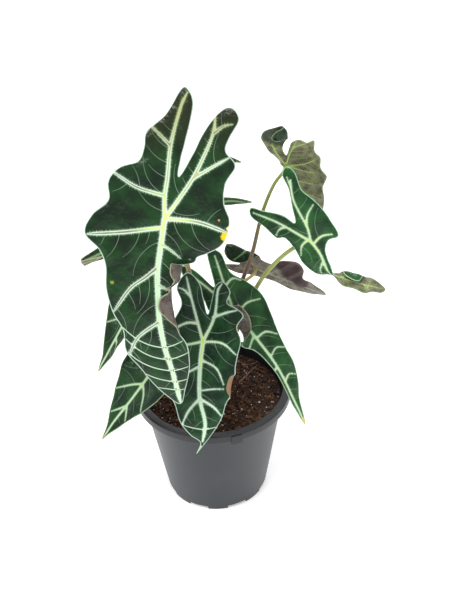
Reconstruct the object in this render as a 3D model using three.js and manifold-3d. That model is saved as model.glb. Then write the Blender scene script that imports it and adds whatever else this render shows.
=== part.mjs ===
// Potted alocasia: nine arrow-shaped leaves on long stalks, growing from a corm in a round nursery pot.
// Millimetres, +Z up. The origin is the centre of the pot's underside.
import * as THREE from "three";
import * as BufferGeometryUtils from "three/addons/utils/BufferGeometryUtils.js";
import { TessellateModifier } from "three/addons/modifiers/TessellateModifier.js";
import Module from "manifold-3d";

const wasm = await Module();
wasm.setup();

// ---------- driving dimensions ----------
const RIM_DIAMETER = 150;
const POT_HEIGHT = 118;
const BASE_DIAMETER = 101;
const WALL = 1.6;
const FLOOR = 2;
const LIP_WIDTH = 6;
const LIP_HEIGHT = 8;
const POT_SIDES = 56;
const HOLE_SIDES = 16;
const CORM_SIDES = 32;

const SLOT_COUNT = 8;
const SLOT_WIDTH = 20;
const SLOT_HEIGHT = 4;
const SLOT_DEPTH = 8;
const DRAIN_COUNT = 6;
const DRAIN_DIAMETER = 8;
const DRAIN_CIRCLE_RADIUS = 24;

const TAB_WIDTH = 10;
const TAB_THICKNESS = 1;
const TAB_DROP = 1;
const TAB_AZIMUTH = -74;

const GAP = 0.3;
const SAME_POINT = 1e-4;
const NO_TURN = 1e-6;
const SOIL_BELOW_RIM = 10;
const SOIL_MOUND = 1.5;
const CORM_RADIUS = 14;
const CORM_BURIED = 24;
const CORM_RISE = 3;
const CORM_CHAMFER = 1;

const STALK_RING = 9.5;
const STALK_SIDES = 8;
const STALK_STEPS = 18;
const STALK_SQUARE_IN = 6;
const STALK_SQUARE_OUT = 10;
const BLADE_THICKNESS = 1.2;
const MARGIN_STEPS = 2;
const BLADE_EDGE = 11;
const BLADE_SPLITS = 24;

// ---------- values worked out from them ----------
const rimRadius = RIM_DIAMETER / 2;
const wallTopRadius = rimRadius - LIP_WIDTH;
const baseRadius = BASE_DIAMETER / 2;
const soilTop = POT_HEIGHT - SOIL_BELOW_RIM;
const cormTop = soilTop + SOIL_MOUND + CORM_RISE;

// Outer radius of the pot's wall at a height above the table.
function wallRadius(height) {
  return baseRadius + (wallTopRadius - baseRadius) * height / POT_HEIGHT;
}

// ---------- materials ----------
function finish(color, roughness) {
  return new THREE.MeshStandardMaterial({ color, roughness, metalness: 0 });
}

const potPlastic = () => finish(0x2a2d2f, 0.45);
const pottingMix = () => finish(0x3a2318, 0.95);
const cormSkin = () => finish(0x5a4030, 0.85);
const stalkGreen = () => finish(0x7d7a45, 0.5);
const leafGreen = () => finish(0x123a24, 0.35);

// ---------- shared helpers ----------
function plain(geometry) {
  const bare = geometry.index ? geometry.toNonIndexed() : geometry.clone();
  bare.deleteAttribute("normal");
  bare.deleteAttribute("uv");
  return bare;
}

function merged(geometry) {
  return BufferGeometryUtils.mergeVertices(plain(geometry), SAME_POINT);
}

function toSolid(geometry) {
  const whole = merged(geometry);
  return new wasm.Manifold(new wasm.Mesh({
    numProp: 3,
    vertProperties: new Float32Array(whole.attributes.position.array),
    triVerts: new Uint32Array(whole.index.array),
  }));
}

function fromSolid(solid) {
  const mesh = solid.getMesh();
  const geometry = new THREE.BufferGeometry();
  geometry.setAttribute("position", new THREE.BufferAttribute(new Float32Array(mesh.vertProperties), 3));
  geometry.setIndex(new THREE.BufferAttribute(new Uint32Array(mesh.triVerts), 1));
  return geometry;
}

// A solid of revolution about +Z from a profile of [radius, height] points.
function turned(profile, sides) {
  const points = profile.map(([radius, height]) => new THREE.Vector2(radius, height));
  const geometry = new THREE.LatheGeometry(points, sides);
  geometry.rotateX(Math.PI / 2);
  return geometry;
}

function named(name, geometry, material) {
  const mesh = new THREE.Mesh(geometry, material);
  mesh.name = name;
  return mesh;
}

function smoothstep(x) {
  const t = THREE.MathUtils.clamp(x, 0, 1);
  return t * t * (3 - 2 * t);
}

// ---------- pot ----------
function potShell() {
  const skirtRadius = rimRadius - WALL;
  const lipUnder = POT_HEIGHT - WALL;
  const lipBottom = POT_HEIGHT - LIP_HEIGHT;
  return turned([
    [0, 0],
    [baseRadius, 0],
    [wallRadius(lipUnder), lipUnder],
    [skirtRadius, lipUnder],
    [skirtRadius, lipBottom],
    [rimRadius, lipBottom],
    [rimRadius, POT_HEIGHT],
    [wallTopRadius - WALL, POT_HEIGHT],
    [wallRadius(FLOOR) - WALL, FLOOR],
    [0, FLOOR],
  ], POT_SIDES);
}

// Slots at the foot of the wall, and round holes in the floor, let water out.
function drainage() {
  const cuts = [];
  for (let i = 0; i < SLOT_COUNT; i += 1) {
    const slot = new THREE.BoxGeometry(SLOT_DEPTH, SLOT_WIDTH, 2 * SLOT_HEIGHT);
    slot.translate(baseRadius, 0, 0);
    slot.rotateZ((i + 0.5) * 2 * Math.PI / SLOT_COUNT);
    cuts.push(slot);
  }
  for (let i = 0; i < DRAIN_COUNT; i += 1) {
    const hole = new THREE.CylinderGeometry(DRAIN_DIAMETER / 2, DRAIN_DIAMETER / 2, 4 * FLOOR, HOLE_SIDES);
    hole.rotateX(Math.PI / 2);
    hole.translate(DRAIN_CIRCLE_RADIUS, 0, FLOOR / 2);
    hole.rotateZ(i * 2 * Math.PI / DRAIN_COUNT);
    cuts.push(hole);
  }
  return cuts.map(toSolid);
}

// A small moulded block on the outside of the lip.
function lipTab() {
  const height = LIP_HEIGHT + TAB_DROP;
  const tab = new THREE.BoxGeometry(WALL + TAB_THICKNESS, TAB_WIDTH, height);
  tab.translate(rimRadius + (TAB_THICKNESS - WALL) / 2, 0, POT_HEIGHT - TAB_DROP - height / 2);
  tab.rotateZ(THREE.MathUtils.degToRad(TAB_AZIMUTH));
  return toSolid(tab);
}

function pot() {
  let shell = toSolid(potShell()).add(lipTab());
  for (const cut of drainage()) {
    shell = shell.subtract(cut);
  }
  return named("pot", fromSolid(shell), potPlastic());
}

// ---------- soil and corm ----------
function soil() {
  const pocket = CORM_RADIUS + GAP;
  const bottom = FLOOR + GAP;
  const profile = [
    [0, bottom],
    [wallRadius(bottom) - WALL - GAP, bottom],
    [wallRadius(soilTop) - WALL - GAP, soilTop],
    [(pocket + wallTopRadius) / 2, soilTop + SOIL_MOUND / 2],
    [pocket, soilTop + SOIL_MOUND],
    [pocket, soilTop - CORM_BURIED / 2 - GAP],
    [0, soilTop - CORM_BURIED - 2 * GAP],
  ];
  return named("soil", turned(profile, POT_SIDES), pottingMix());
}

function corm() {
  const profile = [
    [0, soilTop - CORM_BURIED],
    [CORM_RADIUS, soilTop - CORM_BURIED / 2],
    [CORM_RADIUS, cormTop - CORM_CHAMFER],
    [CORM_RADIUS - CORM_CHAMFER, cormTop],
    [0, cormTop],
  ];
  return named("corm", turned(profile, CORM_SIDES), cormSkin());
}

// ---------- leaves ----------
// A leaf lies flat first: u runs from the stalk to the tip, v to one side and w out of the upper face.
// at: the stalk's join, x and y in rim radii from the pot's axis and z in mm above the rim.
// aim: heading of the tip, how far it dips, and roll about u, in degrees.
// margin: the outline, in mm, closed by a smooth curve.
// bends and twists, in order: how the flat leaf folds, curls and droops.
// stalk: azimuth of its foot, thickness at foot and top, and the points it passes, given as at is.
const bend = (u, v, toward, over, angle, half = Infinity, ramp = 15, limit = Infinity) =>
  ({ fold: bendPoint, u, v, toward, over, angle, half, ramp, limit });
const twist = (from, over, angle) => ({ fold: twistPoint, from, over, angle });
const sway = (from, over, angle) => ({ fold: swayPoint, from, over, angle });

const LEAVES = {
  front_left: {
    at: [-0.4, -0.67, 209],
    aim: [-90, 73, 0],
    margin: [
      [-98, 18], [-97, 24], [-86, 27], [-66, 22], [-48, 16], [-33, 13], [-50, 25], [-68, 36], [-80, 48],
      [-82, 57], [-73, 62], [-60, 54], [-51, 51], [-40, 58], [-27, 50], [-12, 48], [1, 52], [14, 49],
      [22, 44], [28, 33], [32, 24], [40, 25], [50, 21], [57, 6], [61, 15], [70, 19], [79, 15], [88, 9],
      [97, 9], [107, 13], [118, 14], [130, 13], [146, 9], [162, 3], [145, -14], [122, -28], [106, -38],
      [88, -39], [72, -46], [52, -50], [34, -49], [20, -53], [6, -63], [-8, -56], [-18, -43], [-32, -42],
      [-42, -33], [-46, -18], [-56, -13], [-68, -10], [-80, 5],
    ],
    shape: [
      bend(43, 10, 80, 6, 185, 9, 6), bend(76, 2, 97, 7, 190, 22, 10), bend(0, 1, 90, 14, 14),
      bend(0, -1, -90, 14, 14), bend(70, 0, 0, 100, -14), bend(-25, 0, 180, 90, -12),
    ],
    stalk: { foot: 232, thick: [5, 3.6], via: [[-0.13, -0.06, 82], [-0.21, -0.09, 134], [-0.32, -0.3, 188]] },
  },
  front_middle: {
    at: [-0.08, -0.53, 81],
    aim: [-90, 58, 0],
    margin: [
      [-62, -11], [-50, -21], [-33, -18], [-10, -31], [14, -34], [40, -32], [54, -27], [70, -23],
      [82, -15], [91, -6], [101, -10], [92, -2], [77, 9], [66, 15], [56, 18], [50, 22], [44, 29],
      [34, 31], [26, 28], [12, 31], [0, 34], [-12, 31], [-22, 37], [-29, 31], [-34, 23], [-44, 26],
      [-53, 20], [-49, 13], [-36, 9], [-24, 5], [-38, 2], [-52, -1],
    ],
    shape: [
      bend(40, 23, 76, 4, 170, 12, 8), bend(0, 1, 90, 12, 14), bend(0, -1, -90, 12, 14),
      bend(30, 0, 0, 60, -14), bend(-10, 0, 180, 40, 14),
    ],
    stalk: { foot: 273, thick: [5, 3.4], via: [[-0.03, -0.16, 32], [-0.05, -0.28, 62]] },
  },
  front_right: {
    at: [0.29, 0, 86],
    aim: [-34, 51, 25],
    margin: [
      [-58, 11], [-50, 20], [-30, 18], [-14, 26], [4, 31], [24, 28], [42, 24], [58, 22], [74, 21],
      [90, 16], [108, 8], [133, 1], [112, -1], [92, 0], [74, 1], [56, -1], [42, -5], [32, -13],
      [12, -24], [-12, -20], [-30, -17], [-46, -22], [-60, -18], [-50, -9], [-28, -3], [-40, 3],
    ],
    shape: [
      bend(10, -4, -90, 8, 170, 17, 14), bend(0, 1, 90, 14, 10), bend(40, 0, 0, 70, -14),
    ],
    stalk: { foot: 320, thick: [5, 3.4], via: [[0.12, -0.04, 32], [0.16, 0.01, 62]] },
  },
  low_left: {
    at: [-0.69, -0.33, 42],
    aim: [-142, 38, 0],
    margin: [
      [-62, 12], [-48, 22], [-28, 20], [-8, 32], [10, 33], [28, 28], [46, 17], [58, 10], [72, 3],
      [80, 0], [70, -5], [56, -13], [42, -20], [26, -28], [8, -34], [-8, -30], [-28, -22], [-46, -26],
      [-60, -16], [-44, -6], [-22, 0], [-46, 5],
    ],
    shape: [
      bend(0, 1, 90, 12, 12), bend(0, -1, -90, 12, 12), bend(-8, 0, 180, 25, 45),
    ],
    stalk: { foot: 195, thick: [4.6, 3.2], via: [[-0.29, -0.11, 22], [-0.51, -0.21, 32]] },
  },
  left: {
    at: [-0.88, 0.27, 90],
    aim: [-140, 48, 0],
    margin: [
      [-50, 16], [-38, 24], [-20, 20], [-4, 28], [14, 26], [32, 20], [50, 13], [64, 6], [78, 0],
      [64, -5], [50, -11], [32, -18], [14, -24], [-4, -26], [-20, -20], [-38, -24], [-50, -16],
      [-34, -6], [-18, 0], [-34, 6],
    ],
    shape: [
      bend(0, 1, 90, 10, 40), bend(0, -1, -90, 10, 40),
    ],
    stalk: { foot: 159, thick: [4.6, 3.2], via: [[-0.32, 0.13, 42], [-0.64, 0.27, 74]] },
  },
  back_right: {
    at: [0.99, 0.8, 200],
    aim: [30, 63, -35],
    margin: [
      [-24, -7], [-30, -13], [-33, -20], [-34, -28], [-39, -31], [-44, -25], [-45, -12], [-42, 3],
      [-36, 10], [-29, 11], [-20, 10], [-11, 8], [0, 12], [14, 18], [30, 20], [48, 14], [66, 6], [84, 0],
      [70, -7], [58, -15], [44, -21], [32, -24], [26, -28], [18, -33], [8, -31], [-4, -35], [-13, -33],
      [-25, -37], [-24, -30], [-28, -24], [-26, -16], [-20, -11], [-12, -5], [-18, -4],
    ],
    shape: [
      bend(-47, -14, -90, 6, -165, 17, 4, 24), bend(36, 2, 90, 8, 100, 46, 14),
    ],
    stalk: {
      foot: 46,
      thick: [5, 3],
      via: [[0.16, 0.27, 47], [0.36, 0.39, 87], [0.54, 0.49, 120], [0.69, 0.59, 162], [0.84, 0.69, 186]],
    },
  },
  right: {
    at: [1.23, 0.13, 149],
    aim: [-30, 44, 70],
    margin: [
      [-64, 27], [-61, 19], [-48, 15], [-34, 7], [-22, 0], [-34, -4], [-48, -15], [-57, -22], [-51, -27],
      [-36, -24], [-22, -22], [-17, -16], [-4, -16], [10, -18], [22, -16], [34, -12], [42, -8],
      [47, -15], [58, -18], [64, -9], [72, -9], [80, -6], [86, -1], [82, 4], [74, 5], [66, 8], [56, 6],
      [44, 7], [32, 5], [22, 4], [13, 6], [8, 13], [9, 23], [-4, 26], [-16, 27], [-28, 26], [-41, 24],
      [-55, 29],
    ],
    shape: [
      bend(54, -6, -90, 4, -160, 11, 4), twist(20, 30, 120), sway(26, 18, 46), sway(4, 16, -16),
      bend(26, 0, 0, 26, -20),
    ],
    stalk: {
      foot: 8,
      thick: [5, 3.6],
      via: [[0.21, 0.08, 32], [0.59, 0.32, 94], [0.8, 0.32, 118], [1.04, 0.27, 137]],
    },
  },
  back_low: {
    at: [0.61, 0.89, 89],
    aim: [-7, 22, -72],
    margin: [
      [-34, -14], [-16, 2], [-30, 10], [-16, 14], [0, 10], [20, 8], [40, 10], [56, 8], [74, 2], [70, -3],
      [56, -8], [46, -10], [42, -22], [32, -28], [20, -24], [12, -14], [2, -14], [-4, -21], [-14, -33],
      [-26, -37], [-36, -29],
    ],
    shape: [
      bend(-20, -18, -90, 6, -165, 20, 10), bend(0, 3, 90, 14, -30),
    ],
    stalk: { foot: 84, thick: [4.6, 3], via: [[0.06, 0.38, 34], [0.32, 0.68, 74]] },
  },
  back_left: {
    at: [-0.4, 0.35, 166],
    aim: [-174, 22, -75],
    margin: [
      [-78, -21], [-68, -33], [-56, -43], [-44, -42], [-30, -34], [-12, -28], [14, -24], [40, -15],
      [60, -8], [84, -4], [104, -2], [118, 0], [104, 2], [84, 4], [60, 8], [40, 16], [14, 25], [-8, 24],
      [-24, 12], [-42, 6], [-56, 10], [-72, 15], [-60, 5], [-44, -2], [-20, -3], [-36, -22], [-50, -33],
      [-62, -29],
    ],
    shape: [
      bend(84, 0, 0, 12, 160),
    ],
    stalk: { foot: 122, thick: [5, 3.4], via: [[-0.12, 0.19, 52], [-0.29, 0.45, 122]] },
  },
};

// Rolls what lies past a line through (u, v) up round a cylinder, over a given length. It reaches half
// to each side along the line, and no farther than limit beyond it.
function bendPoint(point, { u, v, toward, over, angle, half, ramp, limit }) {
  const direction = THREE.MathUtils.degToRad(toward);
  const du = Math.cos(direction);
  const dv = Math.sin(direction);
  const ahead = (point.x - u) * du + (point.y - v) * dv;
  const along = (point.y - v) * du - (point.x - u) * dv;
  const fade = half === Infinity ? 1 : smoothstep((half - Math.abs(along)) / ramp + 0.5);
  const turn = THREE.MathUtils.degToRad(angle) * fade;
  if (ahead <= 0 || ahead > limit || Math.abs(turn) < NO_TURN) {
    return point;
  }
  const radius = over / turn;
  const swung = turn * Math.min(ahead / over, 1);
  const past = Math.max(ahead - over, 0);
  const reach = (radius - point.z) * Math.sin(swung) + past * Math.cos(turn);
  const lift = radius - (radius - point.z) * Math.cos(swung) + past * Math.sin(turn);
  return new THREE.Vector3(u + reach * du - along * dv, v + reach * dv + along * du, lift);
}

// Turns the leaf about its own midrib, gradually, beyond a given distance from the stalk.
function twistPoint(point, { from, over, angle }) {
  const turn = THREE.MathUtils.degToRad(angle) * smoothstep((point.x - from) / over);
  return point.clone().applyAxisAngle(new THREE.Vector3(1, 0, 0), turn);
}

// Bends the leaf sideways, beyond a given distance from the stalk.
function swayPoint(point, { from, over, angle }) {
  const ahead = point.x - from;
  if (ahead <= 0) {
    return point;
  }
  const turn = THREE.MathUtils.degToRad(angle);
  const radius = over / turn;
  const swung = turn * Math.min(ahead / over, 1);
  const past = Math.max(ahead - over, 0);
  const reach = (radius - point.y) * Math.sin(swung) + past * Math.cos(turn);
  const aside = radius - (radius - point.y) * Math.cos(swung) + past * Math.sin(turn);
  return new THREE.Vector3(from + reach, aside, point.z);
}

// The leaf's own axes in the pot's frame: to the tip, to the side and out of the upper face.
function leafAxes([heading, dip, roll]) {
  const [h, d, r] = [heading, dip, roll].map(THREE.MathUtils.degToRad);
  const u = new THREE.Vector3(Math.cos(h) * Math.cos(d), Math.sin(h) * Math.cos(d), -Math.sin(d));
  const v = new THREE.Vector3(-Math.sin(h), Math.cos(h), 0).applyAxisAngle(u, r);
  return { u, v, w: u.clone().cross(v) };
}

// A point given by x and y in rim radii from the pot's axis, and z in mm above the rim.
function joinPoint([x, y, z]) {
  return new THREE.Vector3(x * rimRadius, y * rimRadius, POT_HEIGHT + z);
}

function shapePoint(leaf, point) {
  let shaped = point;
  for (const step of leaf.shape) {
    shaped = step.fold(shaped, step);
  }
  const { u, v, w } = leafAxes(leaf.aim);
  return joinPoint(leaf.at)
    .addScaledVector(u, shaped.x)
    .addScaledVector(v, shaped.y)
    .addScaledVector(w, shaped.z);
}

function blade(name, leaf) {
  const corners = leaf.margin.map(([u, v]) => new THREE.Vector3(u, v, 0));
  const curve = new THREE.CatmullRomCurve3(corners, true, "catmullrom", 0.5);
  const outline = curve.getPoints(corners.length * MARGIN_STEPS).slice(0, -1);
  const shape = new THREE.Shape(outline.map((p) => new THREE.Vector2(p.x, p.y)));
  const slab = new THREE.ExtrudeGeometry(shape, { depth: BLADE_THICKNESS, bevelEnabled: false });
  slab.translate(0, 0, -BLADE_THICKNESS / 2);
  const fine = new TessellateModifier(BLADE_EDGE, BLADE_SPLITS).modify(plain(slab));
  const position = fine.attributes.position;
  const point = new THREE.Vector3();
  for (let i = 0; i < position.count; i += 1) {
    point.fromBufferAttribute(position, i);
    const placed = shapePoint(leaf, point.clone());
    position.setXYZ(i, placed.x, placed.y, placed.z);
  }
  return named(`blade_${name}`, merged(fine), leafGreen());
}

// A stalk stands on the corm, passes its via points, and turns in square to the underside of its blade.
function stalkCurve(leaf) {
  const { w } = leafAxes(leaf.aim);
  const foot = THREE.MathUtils.degToRad(leaf.stalk.foot);
  const start = new THREE.Vector3(STALK_RING * Math.cos(foot), STALK_RING * Math.sin(foot), cormTop + GAP);
  const upright = start.clone().add(new THREE.Vector3(0, 0, STALK_SQUARE_OUT));
  const end = joinPoint(leaf.at).addScaledVector(w, -(BLADE_THICKNESS / 2 + GAP));
  const square = end.clone().addScaledVector(w, -STALK_SQUARE_IN);
  return new THREE.CatmullRomCurve3([start, upright, ...leaf.stalk.via.map(joinPoint), square, end]);
}

function stalk(name, leaf) {
  const curve = stalkCurve(leaf);
  const [footThickness, topThickness] = leaf.stalk.thick;
  const corners = [];
  for (let i = 0; i < STALK_SIDES; i += 1) {
    const angle = i * 2 * Math.PI / STALK_SIDES;
    corners.push(new THREE.Vector2(Math.cos(angle), Math.sin(angle)).multiplyScalar(footThickness / 2));
  }
  const section = new THREE.Shape(corners);
  const tube = merged(new THREE.ExtrudeGeometry(section, { steps: STALK_STEPS, extrudePath: curve }));
  taper(tube, curve, topThickness / footThickness);
  return named(`stalk_${name}`, tube, stalkGreen());
}

// Draws a swept tube in towards its centre line, evenly from full size at the start to a share of it.
function taper(tube, curve, endShare) {
  const centres = curve.getSpacedPoints(STALK_STEPS);
  const position = tube.attributes.position;
  const point = new THREE.Vector3();
  for (let i = 0; i < position.count; i += 1) {
    point.fromBufferAttribute(position, i);
    let nearest = 0;
    for (let step = 1; step < centres.length; step += 1) {
      if (point.distanceTo(centres[step]) < point.distanceTo(centres[nearest])) {
        nearest = step;
      }
    }
    const share = 1 + (endShare - 1) * nearest / STALK_STEPS;
    point.sub(centres[nearest]).multiplyScalar(share).add(centres[nearest]);
    position.setXYZ(i, point.x, point.y, point.z);
  }
}

// ---------- the plant in its pot ----------
const alocasia = new THREE.Group();
alocasia.add(pot(), soil(), corm());
for (const [name, leaf] of Object.entries(LEAVES)) {
  alocasia.add(stalk(name, leaf), blade(name, leaf));
}

export default alocasia;
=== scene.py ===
import bpy
import math
import random
from mathutils import Matrix, Vector, noise
from mathutils.geometry import delaunay_2d_cdt
from mathutils.kdtree import KDTree


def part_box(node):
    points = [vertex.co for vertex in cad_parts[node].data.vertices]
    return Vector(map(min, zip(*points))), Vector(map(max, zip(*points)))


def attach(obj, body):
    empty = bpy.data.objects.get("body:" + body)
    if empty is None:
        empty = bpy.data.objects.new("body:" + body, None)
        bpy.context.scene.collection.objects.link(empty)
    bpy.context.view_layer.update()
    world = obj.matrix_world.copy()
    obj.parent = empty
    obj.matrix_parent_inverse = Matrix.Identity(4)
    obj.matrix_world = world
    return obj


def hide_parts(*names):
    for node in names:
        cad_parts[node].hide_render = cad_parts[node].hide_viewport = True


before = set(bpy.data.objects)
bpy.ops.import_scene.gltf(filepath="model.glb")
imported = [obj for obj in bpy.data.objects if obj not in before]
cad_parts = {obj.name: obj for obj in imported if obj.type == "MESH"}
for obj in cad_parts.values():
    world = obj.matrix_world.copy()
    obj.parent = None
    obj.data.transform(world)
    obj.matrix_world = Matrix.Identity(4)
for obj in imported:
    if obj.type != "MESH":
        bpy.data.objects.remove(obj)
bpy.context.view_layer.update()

# ---------- sizes read from the frame, in mm ----------
MM = 0.001


def node_box(name):
    lo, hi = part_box(name)
    return Vector(lo) / MM, Vector(hi) / MM


soil_low, soil_high = node_box("soil")
_, pot_high = node_box("pot")
corm_low, corm_high = node_box("corm")
RIM = pot_high.x
POT_HEIGHT = pot_high.z
CORM_TOP = corm_high.z
SOIL_RADIUS = soil_high.x
SOIL_BELOW_RIM = 10
SOIL_TOP = POT_HEIGHT - SOIL_BELOW_RIM

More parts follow.
